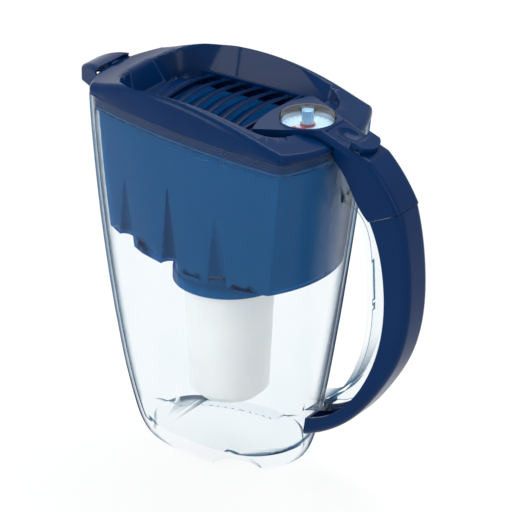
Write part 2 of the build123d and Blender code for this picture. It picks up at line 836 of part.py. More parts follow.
def louvre_blade(x):
    """One arched slat with a pin at each end and a crank tab for the link bar."""
    half = blade_half_length
    rise = blade_arch
    t = blade_thickness
    low_arc = ThreePointArc((-half, 0), (0, rise), (half, 0))
    high_arc = ThreePointArc((half, t), (0, rise + t), (-half, t))
    ends = [Line((half, 0), (half, t)), Line((-half, t), (-half, 0))]
    section = make_face([low_arc, ends[0], high_arc, ends[1]])
    across = Plane((-blade_chord / 2, 0, -t / 2), x_dir=(0, 1, 0), z_dir=(1, 0, 0)) * section
    slat = extrude(across, amount=blade_chord)
    blade = turned_about_y(slat, 0, 0, -blade_tilt)
    for side in (-1, 1):
        inner = side * (half - 1.0)
        outer = side * (half + blade_pin_length)
        blade += rod_y(0, 0, blade_pin_radius, min(inner, outer), max(inner, outer))
    dx, dz = crank_offset()
    y_limits = (crank_y - crank_thickness, crank_y)
    pivot_end = rod_y(0, 0, crank_width / 2, *y_limits)
    pin_end = rod_y(dx, dz, crank_width / 2, *y_limits)
    angle = math.degrees(math.atan2(dx, dz))
    arm = Box(crank_width, crank_thickness, crank_radius)
    arm = Pos(dx / 2, crank_y - crank_thickness / 2, dz / 2) * Rot(0, angle, 0) * arm
    web_top = blade_arch * (1 - (crank_y / half) ** 2) + blade_thickness / 2
    web = box_between((-crank_width / 2, crank_width / 2), y_limits, (0, web_top))
    blade += pivot_end + pin_end + arm + turned_about_y(web, 0, 0, -blade_tilt)
    blade += rod_y(dx, dz, crank_pin_radius, crank_y - 0.2, crank_y + crank_pin_length)
    return Pos(x, 0, blade_pivot_height) * blade


def slot_y(x, z, half_width, half_height, y_limits):
    """Upright slot with round ends, cut along Y."""
    slot = box_between((x - half_width, x + half_width), y_limits, (z - half_height, z + half_height))
    slot += rod_y(x, z + half_height, half_width, *y_limits)
    return slot + rod_y(x, z - half_height, half_width, *y_limits)


def slider_angle():
    return math.radians(slider_slope)


def link_travel():
    """Way of the link bar while the cranks swing from one side to the other."""
    return 2 * crank_radius * math.sin(math.radians(crank_half_swing))


def slider_drop():
    """Way that the slider sinks on its slope during the link bar's travel."""
    return link_travel() * math.tan(slider_angle())


def drive_pin():
    """Place of the slider's drive pin at rest, in X and Z."""
    cosine = math.cos(slider_angle())
    sine = math.sin(slider_angle())
    return slider_x + drive_s * cosine + drive_n * sine, slider_z - drive_s * sine + drive_n * cosine


def under_slider(x):
    """Height at x that stays clear of the slider at the lower end of its travel."""
    return slider_underside(x) - slider_drop() - link_clearance


def link_tail(y_limits):
    """The link bar's rear end, which reaches down to the slider's drive pin."""
    end = drive_pin()[0] + link_tail_end
    low = link_low - link_tail_drop
    high = link_low + link_height
    foot = [(link_tail_front, high), (link_tail_front, link_low), (link_tail_bend, link_low)]
    profile = side_face(foot + [(link_tail_foot, low), (end, low), (end, high)])
    return side_body(profile, margin) & box_between((0, 2 * arm_reach), y_limits, (0, loft_height))


def slider_sweep():
    """Space that the slider's plate passes through over the link bar."""
    start = slider_x - slider_clearance
    end = slider_x + margin
    high = slider_z + margin
    return side_body(side_face([(start, under_slider(start)), (end, under_slider(end)), (end, high), (start, high)]), margin)


def link_bar():
    """Flat bar that ties the blades' cranks together and runs back to the thumb slider."""
    drive_y = drive_neck_half + drive_gap
    y_bar = crank_y + link_clearance + link_width / 2
    y_end = drive_y + link_width / 2
    front = blade_x(0) - crank_radius - link_width
    corner = blade_x(blade_count - 1) + link_corner_gap
    line = Polyline((front, y_bar), (corner, y_bar), (counter_x - link_end_gap, y_end), (link_tail_bend, y_end))
    bar = Pos(0, 0, link_low) * extrude(trace(line, link_width), amount=link_height)
    bar += link_tail((drive_y, drive_y + link_width))
    bar -= slider_sweep()
    dx, dz = crank_offset()
    rise = crank_radius - abs(dz)
    cut = (crank_y, crank_y + 2 * link_width)
    for k in range(blade_count):
        z = blade_pivot_height + dz - rise / 2
        half_height = rise / 2 + link_clearance
        bar -= slot_y(blade_x(k) + dx, z, crank_pin_radius + pin_clearance, half_height, cut)
    pin_x, pin_z = drive_pin()
    half_height = slider_drop() / 2 + link_clearance
    cut = (0, y_end + link_width)
    return bar - slot_y(pin_x, pin_z - slider_drop() / 2, crank_pin_radius + pin_clearance, half_height, cut)


def along_slider(shape):
    """Moves a shape from the slider's own frame to its place on the arm's sloping back."""
    return Pos(slider_x, 0, slider_z) * Rot(0, slider_slope, 0) * shape


def slider_underside(x):
    """Height of the slider plate's underside at x."""
    slope = slider_angle()
    return slider_z - (x - slider_x) * math.tan(slope) - slider_thickness / math.cos(slope)


def thumb_slider():
    """Thumb piece: plate in the arm's pocket, a raised lip behind a scoop, and the drive neck."""
    half = slider_half_width
    plate = box_between((0, slider_length), (-half, half), (-slider_thickness, 0))
    lip = box_between((slider_lip_start, slider_lip_end), (-half, half), (seat_gap, slider_lip_height))
    lip &= Pos(slider_lip_start, 0, 0) * Cylinder(slider_lip_end - slider_lip_start, margin)
    plate += lip + box_between((slider_lip_start, slider_length), (-half, half), (-1, 1))
    nose = rod_y(slider_lip_end - slider_nose_back, -slider_nose_drop, slider_nose_radius, -half, half)
    plate &= nose + box_between((-1, slider_lip_start + 3), (-half, half), (-margin, margin))
    scoop_centre = (slider_lip_start - slider_scoop_set_back, 0, slider_scoop_radius - slider_scoop_depth)
    plate -= Pos(scoop_centre) * Sphere(slider_scoop_radius)
    neck_s = (drive_s - drive_neck_length / 2, drive_s + drive_neck_length / 2)
    plate += box_between(neck_s, (-drive_neck_half, drive_neck_half), (drive_n - drive_neck_foot, -1.0))
    drive_y = drive_neck_half + drive_gap
    pin = rod_y(drive_s, drive_n, crank_pin_radius, drive_neck_half - drive_gap, drive_y + link_width + drive_gap)
    return along_slider(plate + pin)


def slider_spring():
    """Return spring between the slider's neck and the rib in the arm."""
    pitch = (spring_length - spring_wire * 2) / spring_turns
    coil = Helix(pitch=pitch, height=pitch * spring_turns, radius=spring_radius)
    section = Plane(origin=coil @ 0, z_dir=coil % 0) * Circle(spring_wire / 2)
    wire = sweep(section, path=coil)
    start = drive_s + drive_neck_length / 2 + seat_gap + spring_wire
    return along_slider(Pos(start, 0, drive_n) * Rot(0, 90, 0) * wire)


def arm_region():
    """The arm's side view: crown, straight slope under the slider, back, seam and inside."""
    slope = math.tan(slider_angle())
    straight_end = (arm_back[0][0], slider_z - (arm_back[0][0] - slider_x) * slope)
    crown_end = (slider_x - (arm_crown[-1][1] - slider_z) / slope, arm_crown[-1][1])
    top = Polyline(*arm_crown, crown_end, straight_end)
    back = Spline(straight_end, *arm_back[1:])
    seam = Line(arm_back[-1], arm_inside[0])
    inside = Spline(*arm_inside)
    low = basin_bottom - basin_floor
    floor = Polyline(arm_inside[-1], (arm_inside[-1][0], low), (arm_crown[0][0], low), arm_crown[0])
    return make_face([top, back, seam, inside, floor])


def fan_plan():
    """The fan from above: curved front edge, two points, and a tail that runs out into the arm."""
    near = Polyline((fan_corner_x, -fan_half_width), (fan_waist_x, -fan_waist_half), (fan_tail_x, -fan_tail_half))
    far = Polyline((fan_corner_x, fan_half_width), (fan_waist_x, fan_waist_half), (fan_tail_x, fan_tail_half))
    front = ThreePointArc((fan_corner_x, -fan_half_width), (fan_front, 0), (fan_corner_x, fan_half_width))
    end = Line((fan_tail_x, -fan_tail_half), (fan_tail_x, fan_tail_half))
    return make_face([front, near, far, end])


def arm_plan():
    start = arm_start_half_width
    end = arm_half_width
    return side_face([(arm_start_x, -start), (arm_reach, -end), (arm_reach, end), (arm_start_x, start)])


def arm_form():
    """The arm's and the fan's outer form, with the arm's upper edges rounded."""
    region = side_body(arm_region(), margin)
    low = rim_height - 2 * margin
    arm = region & (Pos(0, 0, low) * extrude(arm_plan(), amount=4 * margin))
    fan = region & (Pos(0, 0, low) * extrude(fan_plan(), amount=4 * margin))
    return fillet([e for e in arm.edges() if upper_edge(e)], arm_round) + fan


def upper_edge(edge):
    """Long upper edges of the arm, from its front end to the seam."""
    c = edge.center()
    above_lid = c.Z > slider_z - 14.0 or c.X > slider_x + 30.0
    outside = abs(c.Y) > arm_half_width - 1.2
    return outside and c.X > arm_start_x + 1.0 and c.Z > rim_height - 23.0 and above_lid


def lid_clearance():
    """The lid's closed outer form with its two recesses, for cutting the pieces that sit on it."""
    return lid_block() - basin(0.0) - deck(0.0)


def slider_pocket():
    """Pocket for the slider in its own frame, long enough for the whole stroke."""
    half = slider_half_width + slider_clearance
    stroke = link_travel() / math.cos(slider_angle())
    pocket_end = slider_length + stroke + 2 * slider_clearance
    floor = -slider_thickness - slider_rail_gap
    return box_between((-slider_clearance, pocket_end), (-half, half), (floor, 20))


def slider_rails():
    """Two rails under the pocket's long sides and the rib behind the spring."""
    high = -slider_thickness - slider_rail_gap
    low = high - slider_rail_thickness
    half = slider_half_width + 2 * slider_clearance + 0.6
    end = slider_length + 10.0
    rails = box_between((-2.0, end), (slider_rail_half, half), (low, high))
    rails += box_between((-2.0, end), (-half, -slider_rail_half), (low, high))
    rib = drive_s + drive_neck_length / 2 + 2 * seat_gap + spring_length
    return rails + box_between((rib, rib + spring_rib), (-half, half), (drive_n - 4.0, low))


def lid_arm():
    """Upper half of the handle, moulded with the fan that frames the counter."""
    solid = arm_form()
    core = side_body(arm_region(), arm_half_width - arm_wall + 0.4)
    under_top = Pos(-arm_wall * 0.7, 0, -arm_wall) * core
    hollow = under_top & core & (Pos(arm_wall * 0.8, 0, arm_wall * 0.6) * core)
    lower = Pos(-arm_wall, 0, -2 * arm_wall) * hollow
    under_lid = box_between((0, rim_rear + arm_gap), (-margin, margin), (0, link_low + link_height))
    arm = solid - hollow
    arm -= lower & box_between((rim_rear, 2 * arm_reach), (-margin, margin), (0, rim_height - skirt_depth))
    arm += along_slider(slider_rails()) & solid
    arm -= under_lid + Pos(0, 0, arm_gap) * lid_clearance()
    arm -= along_slider(slider_pocket())
    low = rim_height - margin
    arm -= disc(counter_radius + counter_clearance, low, deck_height + margin, counter_x)
    flange_top = deck_height + counter_flange + 2 * counter_flange_gap
    arm -= disc(counter_flange_radius + counter_clearance, low, flange_top, counter_x)
    for x, y in screw_places:
        arm -= Pos(x, y, deck_height) * Cylinder(screw_radius + pin_clearance / 4, 2 * (screw_length - basin_floor))
    return arm


def grip_profile():
    outer = Spline(*grip_outer)
    toe = Line(grip_outer[-1], grip_inner[-1])
    inner = Spline(*reversed(grip_inner))
    seam = Line(grip_inner[0], grip_outer[0])
    return make_face([outer, toe, inner, seam])


def handle_grip():
    """Dark blue grip shell over the back of the jug's clear handle frame."""
    profile = grip_profile()
    solid = side_body(profile, grip_half_width)
    long_edges = [e for e in solid.edges() if e.length > 100.0]
    outer_edges = sorted(long_edges, key=lambda e: -e.length)[0:2]
    solid = fillet(outer_edges, grip_round)
    half = frame_half_width + frame_fit_gap
    back_line = parallel(grip_outer, -grip_wall)
    open_line = parallel(grip_inner, -2 * grip_wall)
    ends = [Line(back_line[-1], open_line[-1]), Line(open_line[0], back_line[0])]
    pocket = side_body(make_face([Spline(*back_line), Spline(*open_line), *ends]), half)
    toe_x = grip_inner[-1][0] + grip_wall
    grip = solid - (pocket & box_between((toe_x, 2 * arm_reach), (-margin, margin), (0, loft_height)))
    across = (grip_outer[0][0] - grip_inner[0][0], grip_outer[0][1] - grip_inner[0][1])
    seam_angle = math.degrees(math.atan2(across[1], across[0]))
    seam = Rot(0, -seam_angle, 0) * Box(margin, margin, 2 * seam_gap)
    return grip - Pos(grip_inner[0][0], 0, grip_inner[0][1]) * seam


def counter_cup():
    """Fixed tray of the counter, hung in the lid by its flange, with a post for the spindle."""
    t = counter_wall
    low = counter_floor_height
    floor_top = low + counter_floor
    cup = disc(counter_radius, low, counter_cup_top, counter_x)
    cup -= disc(counter_radius - t, floor_top, low + margin, counter_x)
    flange_low = deck_height + counter_flange_gap
    flange = disc(counter_flange_radius, flange_low, flange_low + counter_flange, counter_x)
    cup += flange - disc(counter_radius - t, low - margin, low + margin, counter_x)
    return cup + disc(counter_post_radius, low + counter_floor / 2, counter_post_top, counter_x)


def counter_dial():
    low = counter_floor_height + counter_floor + counter_flange_gap
    outer = counter_radius - counter_wall - counter_flange_gap
    hole = disc(counter_post_radius + counter_clearance, low - margin, low + margin, counter_x)
    return disc(outer, low, low + dial_thickness, counter_x) - hole


def counter_sector():
    """Coloured sector that turns with the cover and shows the days left."""
    t = sector_thickness
    middle = spindle_low + t
    ring = Cylinder(sector_outer_radius, t) - Cylinder(sector_inner_radius, 2 * t)
    arm_length = sector_inner_radius
    arm = Pos((spindle_radius + arm_length) / 2, 0) * Box(arm_length, 3 * t, t)
    hub = Cylinder(spindle_radius + cover_wall, t)
    flag = (ring & upright_wedge()) + arm + hub - Cylinder(spindle_radius + pin_clearance / 4, 2 * t)
    return Pos(counter_x, 0, middle) * Rot(0, 0, sector_turn) * flag


def upright_wedge():
    """Wedge from the counter's axis that opens to both sides of +X by half the sector's angle."""
    reach = 2 * sector_outer_radius
    side = reach * math.tan(math.radians(sector_angle / 2))
    corners = [(0, 0), (reach, -side), (reach, side)]
    return Pos(0, 0, -reach / 2) * extrude(side_face(corners), amount=reach)


def counter_spindle():
    rod = disc(spindle_radius, spindle_low, knob_top - cover_wall - counter_clearance, counter_x)
    bore_top = counter_post_top + counter_clearance
    return rod - disc(counter_post_radius + pin_clearance, spindle_low - margin, bore_top, counter_x)


def counter_cover():
    """Clear domed cover of the counter with its turning knob."""
    t = cover_wall
    outer = disc(counter_radius, cover_low, counter_top, counter_x)
    outer = chamfer(outer.faces().sort_by(Axis.Z)[-1].edges(), t)
    outer += disc(knob_radius, counter_top - t / 2, knob_top, counter_x)
    outer -= disc(counter_radius - t, cover_low - t, counter_top - t, counter_x)
    return outer - disc(knob_radius - t, cover_low - t, knob_top - t, counter_x)


def flap_profile(drop):
    """Side view of everything under the flap's crowned top, lowered by drop."""
    tip, middle, root = ((x, z - drop) for x, z in flap_crown)
    low = rim_height - margin
    crown = ThreePointArc(tip, middle, root)
    floor = Polyline(root, (root[0], low), (tip[0], low), tip)
    return side_body(make_face([crown, floor]), margin)


def flap_form(grow, drop):
    """Upright body with the spout's outline, grown on all sides, under the lowered crown."""
    outline = Pos(0, 0, rim_height - margin - drop) * spout_plan(rim_z(flap_crown[0][0]), grow)
    return extrude(outline, amount=2 * margin) & flap_profile(drop)


def pour_flap():
    """Flap over the spout: crowned top, skirt round the lip and a hinge lug into the lid."""
    outer = flap_form(flap_clearance + flap_wall, 0.0)
    top_face = outer.faces().sort_by(Axis.Z)[-1]
    outer = fillet([e for e in top_face.edges() if e.center().X < flap_hinge_x], flap_edge_round)
    flap = (outer - flap_form(flap_clearance, flap_wall)) & slab(-flap_skirt, margin)
    lid_front = rim_prism(-flap_lid_gap) & crown_region(-flap_lid_gap)
    ahead = (-rim_front - margin, -margin)
    lid_front &= box_between(ahead, (-margin, margin), (0, 2 * loft_height))
    over_lid = (flap_crown[-1][0], margin)
    flap -= lid_front + box_between(over_lid, (-margin, margin), (0, 2 * loft_height))
    for angle in range(flap_swing_step, flap_swing + 1, flap_swing_step):
        turned_lid = Pos(flap_hinge_x, 0, flap_hinge_z) * Rot(0, -angle, 0)
        flap -= turned_lid * (Pos(-flap_hinge_x, 0, -flap_hinge_z) * lid_front)
    half = flap_lug_half
    lug = rod_y(flap_hinge_x, flap_hinge_z, flap_lug_radius, -half, half)
    lug_x = (-rim_front - flap_lug_radius, flap_hinge_x)
    lug_z = (flap_hinge_z - flap_lug_radius, flap_hinge_z + flap_lug_radius)
    lug += box_between(lug_x, (-half, half), lug_z)
    flap += lug & flap_profile(0.0)
    return flap - rod_y(flap_hinge_x, flap_hinge_z, flap_pin_radius + pin_clearance, -margin, margin)


def flap_pin():
    return rod_y(flap_hinge_x, flap_hinge_z, flap_pin_radius, -flap_pin_length / 2, flap_pin_length / 2)


def arm_screws():
    """Two screws from under the deck into the arm's fan."""
    screws = []
    under = deck_height - basin_floor
    for x, y in screw_places:
        head = Cylinder(screw_head_radius, screw_head_height)
        head -= Pos(0, 0, -screw_head_height / 2) * Box(3 * screw_radius, screw_slot, screw_head_height)
        head = Pos(0, 0, -screw_head_height / 2) * head
        shank = Pos(0, 0, screw_length / 2 - screw_head_height / 2) * Cylinder(screw_radius, screw_length)
        screws.append(Pos(x, y, under) * (head + shank))
    return Compound(children=screws)


save(jug_body(), "jug_body")
save(handle_grip(), "handle_grip")
save(funnel(), "funnel")
save(seal_ring(), "seal_ring")
save(cartridge_body(), "cartridge_body")
save(cartridge_cap(), "cartridge_cap")
save(screen(screen_low), "lower_screen")
save(filter_media(), "filter_media")
save(screen(upper_screen_low), "upper_screen")
save(lid_shell(), "lid_shell")
save(lid_arm(), "lid_arm")
save(arm_screws(), "arm_screws")
save(louvre_frame(), "louvre_frame")
for k in range(blade_count):
    save(louvre_blade(blade_x(k)), "louvre_blade_" + str(k + 1))
save(link_bar(), "link_bar")
save(thumb_slider(), "thumb_slider")
save(slider_spring(), "slider_spring")
save(counter_cup(), "counter_cup")
save(counter_dial(), "counter_dial")
save(counter_sector(), "counter_sector")
save(counter_spindle(), "counter_spindle")
save(counter_cover(), "counter_cover")
save(pour_flap(), "pour_flap")
save(flap_pin(), "flap_pin")
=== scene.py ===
"""Looks of a countertop water filter jug: clear jug, blue funnel, white cartridge, dark blue lid."""
import bmesh
import bpy
import json
import math
import numpy as np
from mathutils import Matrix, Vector

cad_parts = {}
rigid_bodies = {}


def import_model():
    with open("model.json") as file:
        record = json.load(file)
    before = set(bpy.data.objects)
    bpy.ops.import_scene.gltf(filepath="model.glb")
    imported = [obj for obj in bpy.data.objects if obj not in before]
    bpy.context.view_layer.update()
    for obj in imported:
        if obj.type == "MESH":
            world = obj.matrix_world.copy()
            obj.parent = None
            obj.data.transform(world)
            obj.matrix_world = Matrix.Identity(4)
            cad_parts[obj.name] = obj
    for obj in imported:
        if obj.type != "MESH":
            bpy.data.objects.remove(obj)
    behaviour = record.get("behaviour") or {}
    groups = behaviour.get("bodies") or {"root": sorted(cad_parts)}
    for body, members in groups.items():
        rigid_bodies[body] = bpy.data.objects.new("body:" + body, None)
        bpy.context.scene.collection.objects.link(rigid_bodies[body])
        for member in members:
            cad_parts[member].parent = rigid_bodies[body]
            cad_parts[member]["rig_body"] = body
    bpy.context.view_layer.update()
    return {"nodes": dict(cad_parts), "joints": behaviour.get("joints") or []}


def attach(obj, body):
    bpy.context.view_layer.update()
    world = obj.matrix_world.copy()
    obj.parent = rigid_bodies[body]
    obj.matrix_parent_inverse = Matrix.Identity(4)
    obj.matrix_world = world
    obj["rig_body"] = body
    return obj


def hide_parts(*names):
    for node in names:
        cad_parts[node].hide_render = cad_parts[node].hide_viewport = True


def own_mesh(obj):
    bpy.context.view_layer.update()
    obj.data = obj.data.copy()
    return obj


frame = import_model()
scene = bpy.context.scene
scene.view_settings.view_transform = "Standard"

# Camera: a long lens, far away, that looks down at the jug from the front of its near side. Focal
# length, side of the picture and the way from the aimed point to its middle are in pixels.
picture_side = 512
focal_length = 3640
middle_to_right = 26.5
middle_up = 6.0
camera_azimuth = math.radians(35.0)
camera_elevation = math.radians(25.0)
camera_distance = 2.6
camera_target = Vector((0.0, 0.0, 0.140))
camera_data = bpy.data.cameras.new("camera")
camera_data.angle = 2 * math.atan(picture_side / 2 / focal_length)
camera_data.shift_x = middle_to_right / picture_side
camera_data.shift_y = middle_up / picture_side
camera = bpy.data.objects.new("camera", camera_data)
towards_camera = Vector((
    math.sin(camera_azimuth) * math.cos(camera_elevation),
    -math.cos(camera_azimuth) * math.cos(camera_elevation),
    math.sin(camera_elevation),
))
camera.location = camera_target + camera_distance * towards_camera
camera.rotation_euler = towards_camera.to_track_quat("Z", "Y").to_euler()
scene.collection.objects.link(camera)
scene.camera = camera

# Floor and backdrop: a white paper sweep in a bright studio. To the camera, in the gloss and
# through the clear plastic the studio is plain white, and the floor keeps the jug's soft shadow.
floor_reach = 3.0
floor_paper = "#F4F5F6"
floor_glow_share = 0.86
studio_light = "#E8EAEE"
studio_strength = 0.75
plain_white = "#FFFFFF"


def linear(hex_colour):
    """A colour written as sRGB hex, turned to the linear light that shaders read."""
    parts = np.array([int(hex_colour[k:k + 2], 16) for k in (1, 3, 5)]) / 255
    light = np.where(parts <= 0.04045, parts / 12.92, ((parts + 0.055) / 1.055) ** 2.4)
    return (*light.tolist(), 1.0)


def add(tree, kind, settings=None, links=None):
    """Adds a node. Settings go to its properties or its sockets, links to its sockets. On a Mix node
    for colours, sockets 6 and 7 take the two colours and output 2 gives the mixed one."""
    node = tree.nodes.new(kind)
    for name, value in (settings or {}).items():
        if isinstance(name, str) and hasattr(node, name):
            setattr(node, name, value)
        else:
            node.inputs[name].default_value = value
    for name, socket in (links or {}).items():
        tree.links.new(socket, node.inputs[name])
    return node


def blank_material(name):
    """A material with no nodes in it yet, and its tree."""
    material = bpy.data.materials.new(name)
    material.use_nodes = True
    material.node_tree.nodes.clear()
    return material, material.node_tree


def mesh_object(name, points, faces):
    """An object from a surface's points, in metres, and its faces of four points each."""
    mesh = bpy.data.meshes.new(name)
    mesh.from_pydata(np.asarray(points, float).tolist(), [], np.asarray(faces, int).tolist())
    mesh.validate()
    piece = bpy.data.objects.new(name, mesh)
    scene.collection.objects.link(piece)
    return piece


def straight_look(tree):
    """1 for what the camera sees straight, in a gloss or through clear plastic, and 0 for light that
    falls on the object."""
    rays = add(tree, "ShaderNodeLightPath")
    mirrored = add(tree, "ShaderNodeMath", {"operation": "MAXIMUM"},
                   {0: rays.outputs["Is Glossy Ray"], 1: rays.outputs["Is Transmission Ray"]})
    return add(tree, "ShaderNodeMath", {"operation": "MAXIMUM"},
               {0: rays.outputs["Is Camera Ray"], 1: mirrored.outputs[0]}).outputs[0]


paper, tree = blank_material("matt white paper sweep")
lit = add(tree, "ShaderNodeBsdfDiffuse", {"Color": linear(floor_paper)})
glow = add(tree, "ShaderNodeEmission", {"Color": linear(plain_white), "Strength": 1.0})
share = add(tree, "ShaderNodeMath", {"operation": "MULTIPLY", 1: floor_glow_share}, {0: straight_look(tree)})
sweep = add(tree, "ShaderNodeMixShader", None, {0: share.outputs[0], 1: lit.outputs[0], 2: glow.outputs[0]})
add(tree, "ShaderNodeOutputMaterial", None, {"Surface": sweep.outputs[0]})
floor = mesh_object("floor", [
    (-floor_reach, -floor_reach, 0),
    (floor_reach, -floor_reach, 0),
    (floor_reach, floor_reach, 0),
    (-floor_reach, floor_reach, 0),
], [(0, 1, 2, 3)])
floor.data.materials.append(paper)

world = bpy.data.worlds.new("studio")
scene.world = world
world.use_nodes = True
tree = world.node_tree
tree.nodes.clear()
around = add(tree, "ShaderNodeBackground", {"Color": linear(studio_light), "Strength": studio_strength})
backdrop = add(tree, "ShaderNodeBackground", {"Color": linear(plain_white), "Strength": 1.0})
studio = add(tree, "ShaderNodeMixShader", None,
             {0: straight_look(tree), 1: around.outputs[0], 2: backdrop.outputs[0]})
add(tree, "ShaderNodeOutputWorld", None, {"Surface": studio.outputs[0]})

# Lamps: three soft boxes of white cloth on stands. A wide one hangs above and behind the jug, a tall
# one stands in front at its left, and a narrow weak one lights the handle's side.


def soft_box(name, place, aim, size, watts):
    """A rectangular area lamp at a place, turned towards a point."""
    data = bpy.data.lights.new(name, "AREA")
    data.shape = "RECTANGLE"
    data.size, data.size_y = size
    data.energy = watts
    lamp = bpy.data.objects.new(name, data)
    lamp.location = place
    lamp.rotation_euler = (Vector(place) - Vector(aim)).to_track_quat("Z", "Y").to_euler()
    scene.collection.objects.link(lamp)


soft_box("top box", place=(-0.1, 0.6, 1.5), aim=(0, 0, 0.2), size=(1.4, 0.7), watts=17)
soft_box("left box", place=(-1.0, -1.5, 0.8), aim=(0, 0, 0.15), size=(0.7, 1.2), watts=17)
soft_box("right box", place=(1.3, -0.5, 0.7), aim=(0, 0, 0.15), size=(0.35, 1.1), watts=5)

# Jug: one piece of clear styrene acrylonitrile, injection moulded in a polished mould, with the
# spout, the three-lobed foot and the C-shaped frame of the handle in it. The eye gets bare walls
# with a thin blue line round them and a sharp gloss.
points_meet_within = 2e-6


def fair(node, material, crisp_from):
    """A copy of a CAD node with its triangles joined, so that light runs smoothly over it and breaks
    only at edges sharper than crisp_from, in degrees. It stands for the node and moves with its
    body."""
    source = frame["nodes"][node]
    piece = bpy.data.objects.new(node + "_faired", source.data.copy())
    scene.collection.objects.link(piece)
    shape = bmesh.new()
    shape.from_mesh(piece.data)
    bmesh.ops.remove_doubles(shape, verts=shape.verts, dist=points_meet_within)
    shape.to_mesh(piece.data)
    shape.free()
    piece.data.shade_smooth()
    piece.data.set_sharp_from_angle(angle=math.radians(crisp_from))
    flats_first = piece.modifiers.new("flats first", "WEIGHTED_NORMAL")
    flats_first.keep_sharp = True
    piece.data.materials.clear()
    piece.data.materials.append(material)
    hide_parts(node)
    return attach(piece, source["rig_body"])


def per_metre(millimetres):
    """The scale of a pattern on Object coordinates whose marks lie this far apart."""
    return 1000 / millimetres


def see_through(name, tints, pigment, pigment_share, outline, sink_mark, haze):
    """Polished see-through plastic, seen as a thin wall. Face on it lets the eye through with a tint
    that drifts between two colours, and the share of pigment in it shows its own colour. Towards
    grazing it mirrors the studio more and more, by the fifth power of the angle, and at the very
    outline it takes the deep colour of a wall seen lengthwise. Shallow sink marks, this many
    millimetres apart, keep reflections from being straight. Shadow rays meet the bare wall."""
    mark_depth = 0.0005
    mirror_face_on = 0.002
    mirror_grazing = 0.7
    outline_from = 0.58
    outline_full = 0.93
    material, tree = blank_material(name)
    place = add(tree, "ShaderNodeTexCoord")
    marks = add(tree, "ShaderNodeTexNoise", {"Scale": per_metre(sink_mark), "Detail": 1.0},
                {"Vector": place.outputs["Object"]})
    relief = add(tree, "ShaderNodeBump", {"Strength": 0.1, "Distance": mark_depth},
                 {"Height": marks.outputs["Fac"]})
    rough = add(tree, "ShaderNodeMapRange", {"To Min": haze, "To Max": 3 * haze},
                {"Value": marks.outputs["Fac"]})
    tint = add(tree, "ShaderNodeMix", {"data_type": "RGBA", 6: linear(tints[0]), 7: linear(tints[1])},
               {0: marks.outputs["Fac"]})
    through = add(tree, "ShaderNodeBsdfTransparent", None, {"Color": tint.outputs[2]})
    coloured = add(tree, "ShaderNodeBsdfDiffuse", {"Color": linear(pigment)}, {"Normal": relief.outputs[0]})
    wall = add(tree, "ShaderNodeMixShader", {0: pigment_share},
               {1: through.outputs[0], 2: coloured.outputs[0]})
    rays = add(tree, "ShaderNodeLightPath")
    looked_at = add(tree, "ShaderNodeMath", {"operation": "SUBTRACT", 0: 1.0},
                    {1: rays.outputs["Is Shadow Ray"]})
    turned = add(tree, "ShaderNodeLayerWeight", {"Blend": 0.5}, {"Normal": relief.outputs[0]})
    steep = add(tree, "ShaderNodeMath", {"operation": "POWER", 1: 5.0}, {0: turned.outputs["Facing"]})
    gloss = add(tree, "ShaderNodeMapRange", {"To Min": mirror_face_on, "To Max": mirror_grazing},
                {"Value": steep.outputs[0]})
    gloss_share = add(tree, "ShaderNodeMath", {"operation": "MULTIPLY"},
                      {0: gloss.outputs[0], 1: looked_at.outputs[0]})
    mirror = add(tree, "ShaderNodeBsdfAnisotropic", {"Color": linear(plain_white)},
                 {"Roughness": rough.outputs[0], "Normal": relief.outputs[0]})
    polished = add(tree, "ShaderNodeMixShader", None,
                   {0: gloss_share.outputs[0], 1: wall.outputs[0], 2: mirror.outputs[0]})
    line = add(tree, "ShaderNodeMapRange",
               {"interpolation_type": "SMOOTHSTEP", "From Min": outline_from, "From Max": outline_full},
               {"Value": turned.outputs["Facing"]})
    line_share = add(tree, "ShaderNodeMath", {"operation": "MULTIPLY"},
                     {0: line.outputs[0], 1: looked_at.outputs[0]})
    lengthwise = add(tree, "ShaderNodeBsdfTransparent", {"Color": linear(outline)})
    look = add(tree, "ShaderNodeMixShader", None,
               {0: line_share.outputs[0], 1: polished.outputs[0], 2: lengthwise.outputs[0]})
    add(tree, "ShaderNodeOutputMaterial", None, {"Surface": look.outputs[0]})
    return material


clear = see_through(
    "clear styrene acrylonitrile, polished mould", tints=("#FDFEFE", "#FAFCFD"), pigment="#DCE9F0",
    pigment_share=0.01, outline="#2A6486", sink_mark=38.5, haze=0.012)
fair("jug_body", clear, crisp_from=25.0)

# Funnel: translucent blue polypropylene, injection moulded, with fluted sides and the socket for
# the cartridge, hung in the mouth of the jug. Its pigment swallows most of the light, so the eye
# gets a deep blue where two walls lie behind each other.
blue = see_through(
    "translucent blue polypropylene, moulded", tints=("#4A96C6", "#58A4D2"), pigment="#04669E",
    pigment_share=0.46, outline="#3A7EB4", sink_mark=71.5, haze=0.05)
fair("funnel", blue, crisp_from=35.0)

# Seal: a soft black ring with a square section and rounded edges, moulded of silicone rubber and
# laid into the funnel's socket under the cartridge. The eye gets a dull ring, dusty from talc.


